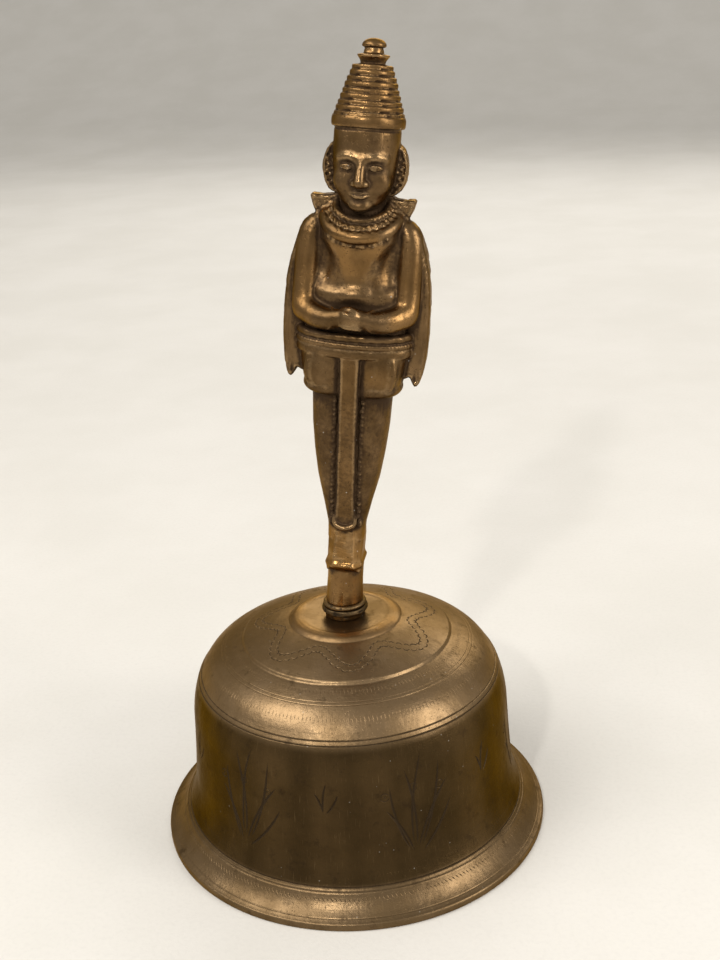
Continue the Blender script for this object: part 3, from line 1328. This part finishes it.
def inner_skin(base):
    """The inside: points, normals and faces, with its points numbered from base."""
    inner = inner_profile()
    corners = [inner.find(*place) for place in (CEILING_EDGE, (BOLT_HOLE, CEILING), LIP_INSIDE, LIP_FOOT)]
    even = np.linspace(0, inner.length, int(inner.length / 1.3))
    rows = np.unique(np.concatenate([even, corners]))
    sides = TURN * np.arange(SIDES + 1) / SIDES
    points = spun(inner.at(rows)[:, None], sides).reshape(-1, 3)
    normals = spun(inner.normal(rows)[:, None], sides).reshape(-1, 3)
    wide = SIDES + 1
    starts = [base + row * wide + side for row in range(len(rows) - 1) for side in range(SIDES)]
    return points, normals, [[a, a + 1, a + wide + 1, a + wide] for a in starts]


def weld(cup, normals, in_cut):
    """Join the seam and the two skins; each point keeps its true normal and each face its mark."""
    bm = bmesh.new()
    bm.from_mesh(cup.data)
    keep = bm.verts.layers.float_vector.new("true_normal")
    for vert, value in zip(bm.verts, normals):
        vert[keep] = Vector(value)
    mark = bm.faces.layers.int.new("in_cut")
    for face, value in zip(bm.faces, in_cut):
        face[mark] = int(value)
    bmesh.ops.remove_doubles(bm, verts=bm.verts, dist=2e-6)
    bmesh.ops.triangulate(bm, faces=bm.faces)
    bmesh.ops.recalc_face_normals(bm, faces=bm.faces)
    bm.to_mesh(cup.data)
    bm.free()
    smooth_shade(cup)


def read_all(collection, key, size, kind):
    """One value or vector from each item of a mesh's collection."""
    values = np.zeros(len(collection) * size, kind)
    collection.foreach_get(key, values)
    return values.reshape(-1, size)


def set_normals(mesh):
    """Shade the turned form by its true normals, and each cut by its own faces."""
    true_normal = read_all(mesh.attributes["true_normal"].data, "vector", 3, np.float32)
    in_cut = read_all(mesh.attributes["in_cut"].data, "value", 1, np.int32)
    corner_vert = read_all(mesh.loops, "vertex_index", 1, np.int32)[:, 0]
    face_normal = read_all(mesh.polygons, "normal", 3, np.float32).repeat(3, axis=0)
    wanted = np.where(in_cut.repeat(3, axis=0) > 0, face_normal, true_normal[corner_vert])
    agree = (wanted * face_normal).sum(1) > 0.4
    wanted = np.where(agree[:, None], wanted, face_normal)
    mesh.normals_split_custom_set(wanted.tolist())
    for layer in ("true_normal", "in_cut"):
        mesh.attributes.remove(mesh.attributes[layer])


def make_cup():
    """The cup's whole skin, with grime in its cuts, soot inside and a golden boss."""
    points, normals, faces, in_cut, grime = outer_skin()
    inside, inside_normals, inside_faces = inner_skin(len(points))
    points = np.concatenate([points, inside])
    cup = new_mesh("bell_cup", points, faces + inside_faces)
    soot = 0.5 * share_of((inside[:, 2] - 8.0) / 8.0)
    store(cup, "cavity", np.concatenate([grime, soot]))
    boss = hump(np.hypot(points[:, 0], points[:, 1]) - 11.2, 1.6) * (points[:, 2] > 49.5)
    store(cup, "gold", boss * (0.45 + 0.25 * value_noise(points, 3.0, 41)))
    weld(cup, np.concatenate([normals, inside_normals]), in_cut + [False] * len(inside_faces))
    set_normals(cup.data)
    return cup


# ------------------------------------------------------------------ materials

class Shader:
    """A material's node tree, with short ways to make and join nodes."""

    def __init__(self, name):
        self.material = bpy.data.materials.new(name)
        self.material.use_nodes = True
        self.nodes = self.material.node_tree.nodes
        self.links = self.material.node_tree.links
        self.nodes.clear()
        self.surface = self.nodes.new("ShaderNodeBsdfPrincipled")
        output = self.nodes.new("ShaderNodeOutputMaterial")
        self.links.new(self.surface.outputs[0], output.inputs[0])

    def put(self, socket, value):
        """Give an input a number, a colour or another node's output."""
        if isinstance(value, bpy.types.NodeSocket):
            self.links.new(value, socket)
        elif isinstance(value, tuple) and len(value) == 3 and socket.type == "RGBA":
            socket.default_value = (*value, 1.0)
        else:
            socket.default_value = value

    def math(self, kind, a, b=0.0, clamp=False):
        """Any of Blender's sums."""
        node = self.nodes.new("ShaderNodeMath")
        node.operation = kind
        node.use_clamp = clamp
        self.put(node.inputs[0], a)
        self.put(node.inputs[1], b)
        return node.outputs[0]

    def plus(self, a, b, clamp=False):
        """One value added to another."""
        return self.math("ADD", a, b, clamp)

    def minus(self, a, b, clamp=False):
        """One value taken from another."""
        return self.math("SUBTRACT", a, b, clamp)

    def times(self, a, b):
        """One value times another."""
        return self.math("MULTIPLY", a, b)

    def spread(self, value, low, high, to_low=0.0, to_high=1.0):
        """A value moved from one range to another, held at the ends and eased between."""
        node = self.nodes.new("ShaderNodeMapRange")
        node.interpolation_type = "SMOOTHSTEP"
        names = ("Value", "From Min", "From Max", "To Min", "To Max")
        for name, number in zip(names, (value, low, high, to_low, to_high)):
            self.put(node.inputs[name], number)
        return node.outputs[0]

    def mix(self, share, a, b):
        """Colour a turned into colour b by a share."""
        node = self.nodes.new("ShaderNodeMix")
        node.data_type = "RGBA"
        self.put(node.inputs[0], share)
        self.put(node.inputs[6], a)
        self.put(node.inputs[7], b)
        return node.outputs[2]

    def noise(self, place, scale, detail, rough):
        """Cloudy noise between 0 and 1."""
        node = self.nodes.new("ShaderNodeTexNoise")
        self.put(node.inputs["Vector"], place)
        node.inputs["Scale"].default_value = scale
        node.inputs["Detail"].default_value = detail
        node.inputs["Roughness"].default_value = rough
        return node.outputs[0]

    def attribute(self, name):
        """A number kept on the mesh's points."""
        node = self.nodes.new("ShaderNodeAttribute")
        node.attribute_name = name
        return node.outputs["Fac"]

    def place(self):
        """The piece's own coordinates, in metres."""
        return self.nodes.new("ShaderNodeTexCoord").outputs["Object"]

    def split(self, vector):
        """A vector's three parts."""
        node = self.nodes.new("ShaderNodeSeparateXYZ")
        self.put(node.inputs[0], vector)
        return node.outputs

    def join(self, x, y, z):
        """A vector from three parts."""
        node = self.nodes.new("ShaderNodeCombineXYZ")
        for socket, value in zip(node.inputs, (x, y, z)):
            self.put(socket, value)
        return node.outputs[0]

    def bump(self, height, distance, under=None):
        """A normal that rises with a height, over another normal."""
        node = self.nodes.new("ShaderNodeBump")
        node.inputs["Strength"].default_value = 1.0
        node.inputs["Distance"].default_value = distance
        self.put(node.inputs["Height"], height)
        if under is not None:
            self.put(node.inputs["Normal"], under)
        return node.outputs[0]


def wall_tones(s, colour, z, turn, clouds, tone):
    """The cup's wall, dark with lighter upright bands, between two levels in metres."""
    low, high, dark, light = tone
    wall = s.times(s.spread(z, low - 0.001, low + 0.001), s.spread(z, high + 0.0015, high - 0.0015))
    bands = s.noise(s.join(turn, 0.0, 0.0), 2.6, 2.0, 0.5)
    share = s.plus(s.spread(bands, 0.35, 0.65, 0.0, 0.75), s.spread(clouds, 0.3, 0.7, -0.1, 0.35))
    colour = s.mix(wall, colour, s.mix(share, dark, light))
    return s.mix(s.spread(z, low + 0.0006, low - 0.0008, 0.0, 0.30), colour, dark)


def dust_specks(s, place, dust):
    """A share that is above 0 at a few tiny specks."""
    cells = s.nodes.new("ShaderNodeTexVoronoi")
    s.put(cells.inputs["Vector"], place)
    cells.inputs["Scale"].default_value = 720.0
    dot = s.spread(cells.outputs["Distance"], 0.13, 0.06)
    chosen = s.spread(s.split(cells.outputs["Color"])[0], 0.90, 0.93)
    return s.times(s.times(dot, chosen), dust)


GRAIN = 0.00003
TOOL_MARK = 0.00002
PIT = 0.00005
GOLDEN = (0.265, 0.142, 0.046)
DUST_COLOUR = (0.62, 0.60, 0.55)
WORN_SHARE = 0.3


def old_metal(name, light, dark, patina, bright, rough, lathe=0.0, scratches=0.0, pitting=0.0, tone=None,
              dust=0.5):
    """Aged metal: cloudy tone, patina in recesses, worn bright edges, fine tool marks, specks of dust."""
    s = Shader(name)
    place = s.place()
    x, y, z = s.split(place)[:3]
    radius = s.math("SQRT", s.plus(s.times(x, x), s.times(y, y)))
    turn = s.math("ARCTAN2", x, y)
    around = s.join(s.times(turn, 0.036), 0.0, s.times(z, 0.06))
    rings = s.join(s.times(turn, 0.0006), radius, z)

    clouds = s.noise(place, 95.0, 5.0, 0.6)
    fine = s.noise(place, 1400.0, 4.0, 0.6)
    stains = s.noise(place, 240.0, 6.0, 0.7)
    streaks = s.times(s.noise(around, 3400.0, 4.0, 0.65), s.spread(z, 0.041, 0.037))
    pits = s.spread(s.noise(place, 2300.0, 2.0, 0.5), 0.62, 0.74)
    cavity = s.spread(s.plus(s.attribute("cavity"), s.spread(fine, 0.3, 0.7, -0.1, 0.1)), 0.08, 0.62)
    wear = s.spread(s.plus(s.attribute("wear"), s.spread(stains, 0.35, 0.65, -0.25, 0.15)), 0.25, 0.95)
    gold = s.times(s.attribute("gold"), s.spread(clouds, 0.25, 0.6, 0.35, 1.0))
    speck = dust_specks(s, place, dust)

    colour = s.mix(s.spread(clouds, 0.32, 0.68), dark, light)
    if tone is not None:
        colour = wall_tones(s, colour, z, turn, clouds, tone)
    for share, coat in ((s.spread(streaks, 0.58, 0.78, 0.0, 0.16 * scratches), bright),
                        (s.spread(stains, 0.54, 0.72, 0.0, 0.6), patina), (gold, GOLDEN),
                        (s.times(wear, WORN_SHARE), bright), (s.times(cavity, 0.9), patina),
                        (s.times(pits, 0.55 * pitting), patina), (speck, DUST_COLOUR)):
        colour = s.mix(share, colour, coat)
    s.put(s.surface.inputs["Base Color"], colour)
    s.put(s.surface.inputs["Specular Tint"], (0.72, 0.56, 0.38))
    metallic = s.minus(s.minus(1.0, s.times(cavity, 0.35)), speck, clamp=True)
    s.put(s.surface.inputs["Metallic"], metallic)
    roughness = s.plus(s.spread(clouds, 0.3, 0.7, rough + 0.07, rough - 0.05), s.times(cavity, 0.24))
    roughness = s.plus(roughness, s.times(s.spread(stains, 0.5, 0.75), 0.12))
    roughness = s.minus(roughness, s.times(wear, 0.07))
    s.put(s.surface.inputs["Roughness"], s.plus(roughness, s.times(speck, 0.4), clamp=True))

    normal = s.bump(fine, GRAIN)
    normal = s.bump(s.noise(place, 420.0, 3.0, 0.5), GRAIN * 3.0, normal)
    if lathe:
        normal = s.bump(s.noise(rings, 2600.0, 3.0, 0.65), TOOL_MARK * lathe, normal)
    if scratches:
        normal = s.bump(streaks, TOOL_MARK * scratches, normal)
    if pitting:
        normal = s.bump(s.minus(1.0, pits), PIT * pitting, normal)
    s.put(s.surface.inputs["Normal"], normal)
    return s.material


def floor_paper():
    """A pale, faintly mottled paper sheet."""
    s = Shader("floor_paper")
    place = s.place()
    clouds = s.noise(place, 14.0, 5.0, 0.6)
    fibres = s.noise(place, 900.0, 3.0, 0.6)
    colour = s.mix(s.spread(clouds, 0.3, 0.7), (0.66, 0.645, 0.61), (0.70, 0.685, 0.655))
    colour = s.mix(s.spread(fibres, 0.4, 0.8, 0.0, 0.15), colour, (0.5, 0.49, 0.47))
    s.put(s.surface.inputs["Base Color"], colour)
    s.put(s.surface.inputs["Roughness"], s.spread(clouds, 0.3, 0.7, 0.75, 0.85))
    s.put(s.surface.inputs["Normal"], s.bump(fibres, 0.00005))
    return s.material


def dress(thing, material, body=None, stands_for=()):
    """Give a piece its material, the body it rides on and the CAD nodes it stands for."""
    thing.data.materials.clear()
    thing.data.materials.append(material)
    if body is not None:
        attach(thing, body)
    if stands_for:
        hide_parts(*stands_for)


# ------------------------------------------------------------------ build

WALL_TONE = (0.0066, 0.0378, (0.037, 0.0232, 0.0095), (0.077, 0.0478, 0.0205))
bell_brass = old_metal("aged_bell_brass", (0.240, 0.162, 0.088), (0.172, 0.113, 0.057),
                       (0.030, 0.019, 0.010), (0.50, 0.34, 0.17), rough=0.36, lathe=1.0, scratches=1.0,
                       pitting=0.4, dust=0.25, tone=WALL_TONE)
figure_brass = old_metal("aged_figure_brass", (0.188, 0.116, 0.055), (0.088, 0.051, 0.021),
                         (0.028, 0.015, 0.008), (0.52, 0.35, 0.18), rough=0.30, pitting=1.0)
collar_brass = old_metal("aged_collar_brass", (0.200, 0.130, 0.062), (0.080, 0.052, 0.026),
                         (0.020, 0.014, 0.009), (0.50, 0.34, 0.16), rough=0.38, lathe=0.8, pitting=0.8)
dark_brass = old_metal("dark_collar_brass", (0.120, 0.080, 0.040), (0.050, 0.034, 0.018),
                       (0.014, 0.010, 0.007), (0.40, 0.27, 0.12), rough=0.42, pitting=1.0, dust=0.3)
clapper_brass = old_metal("aged_clapper_brass", (0.240, 0.160, 0.080), (0.130, 0.082, 0.040),
                          (0.032, 0.021, 0.012), (0.50, 0.34, 0.16), rough=0.40, lathe=0.6, scratches=0.5,
                          pitting=0.6)
iron = old_metal("old_iron", (0.130, 0.115, 0.100), (0.070, 0.058, 0.050), (0.085, 0.036, 0.016),
                 (0.30, 0.27, 0.24), rough=0.46, pitting=1.0, dust=0.3)

figure = make_figure()
dress(figure, figure_brass, "bell", ("figure_handle",))
cup = make_cup()
dress(cup, bell_brass, "bell", ("bell_body",))
thick_ring = make_worn_ring("collar_ring_worn", "collar_ring", 0.30, 21, 0.26, neck=0.6)
dress(thick_ring, dark_brass, "bell", ("collar_ring",))
thin_ring = make_worn_ring("thin_ring_worn", "thin_ring", 0.35, 31, 0.07)
dress(thin_ring, collar_brass, "bell", ("thin_ring",))
for node in ("eye_bolt", "crown_washer", "lock_nut", "suspension_link", "clapper_rod"):
    dress(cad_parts[node], iron)
dress(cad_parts["clapper_ball"], clapper_brass)


# ------------------------------------------------------------------ stage, light and camera

def make_sweep():
    """A pale sheet, in metres, that lies flat under the bell and curves up far behind it."""
    flat = 1.2
    bend = 1.1
    back = 2.3
    run = [(-1.6, 0.0)] + [(y, 0.0) for y in np.linspace(-flat, flat, 9)]
    run += [(flat + bend * math.sin(a), bend - bend * math.cos(a)) for a in np.linspace(0.1, math.pi / 2, 12)]
    run += [(back, 2.0), (back, 3.2)]
    sides = np.linspace(-3.0, 3.0, 13)
    points = [(x / MM, y / MM, z / MM) for y, z in run for x in sides]
    wide = len(sides)
    faces = [(row * wide + i, row * wide + i + 1, (row + 1) * wide + i + 1, (row + 1) * wide + i)
             for row in range(len(run) - 1) for i in range(wide - 1)]
    sheet = new_mesh("floor", points, faces)
    smooth_shade(sheet)
    sheet.data.materials.append(floor_paper())


make_sweep()


def soft_light(name, place, aim, size, power, colour):
    """A square soft light turned to face a point."""
    data = bpy.data.lights.new(name, "AREA")
    data.shape = "RECTANGLE"
    data.size, data.size_y = size
    data.energy = power
    data.color = colour
    lamp = bpy.data.objects.new(name, data)
    lamp.location = place
    lamp.rotation_euler = (Vector(aim) - Vector(place)).to_track_quat("-Z", "Y").to_euler()
    bpy.context.scene.collection.objects.link(lamp)


soft_light("big_soft", (-0.55, -0.35, 0.85), (0, 0, 0.08), (0.65, 0.65), 6.0, (1.0, 0.96, 0.90))
soft_light("back_soft", (0.15, 1.00, 0.62), (0, 0, 0.05), (1.30, 0.45), 5.0, (1.0, 0.96, 0.90))
soft_light("side_soft", (0.75, -0.25, 0.40), (0, 0, 0.08), (0.35, 0.60), 4.0, (1.0, 0.95, 0.88))
soft_light("small_key", (-0.10, -0.60, 0.50), (0, 0, 0.09), (0.035, 0.035), 1.5, (1.0, 0.96, 0.90))

world = bpy.data.worlds.new("studio")
world.use_nodes = True
sky_colour, sky_strength = world.node_tree.nodes["Background"].inputs[:2]
sky_colour.default_value = (0.86, 0.83, 0.78, 1.0)
sky_strength.default_value = 0.68
bpy.context.scene.world = world

camera_place = (0.0481, -0.2452, 0.1801)
camera_turn = math.radians(10.0)
camera_dip = math.radians(90.0 - 21.34)
camera_roll = math.radians(-2.99)
lens = bpy.data.cameras.new("photo_view")
lens.sensor_width = 36.0
lens.lens = 46.875
lens.clip_start = 0.01
camera = bpy.data.objects.new("photo_view", lens)
camera.matrix_world = (Matrix.Translation(camera_place) @ Matrix.Rotation(camera_turn, 4, "Z")
                       @ Matrix.Rotation(camera_dip, 4, "X") @ Matrix.Rotation(camera_roll, 4, "Z"))
bpy.context.scene.collection.objects.link(camera)
bpy.context.scene.camera = camera
bpy.context.scene.view_settings.view_transform = "Standard"
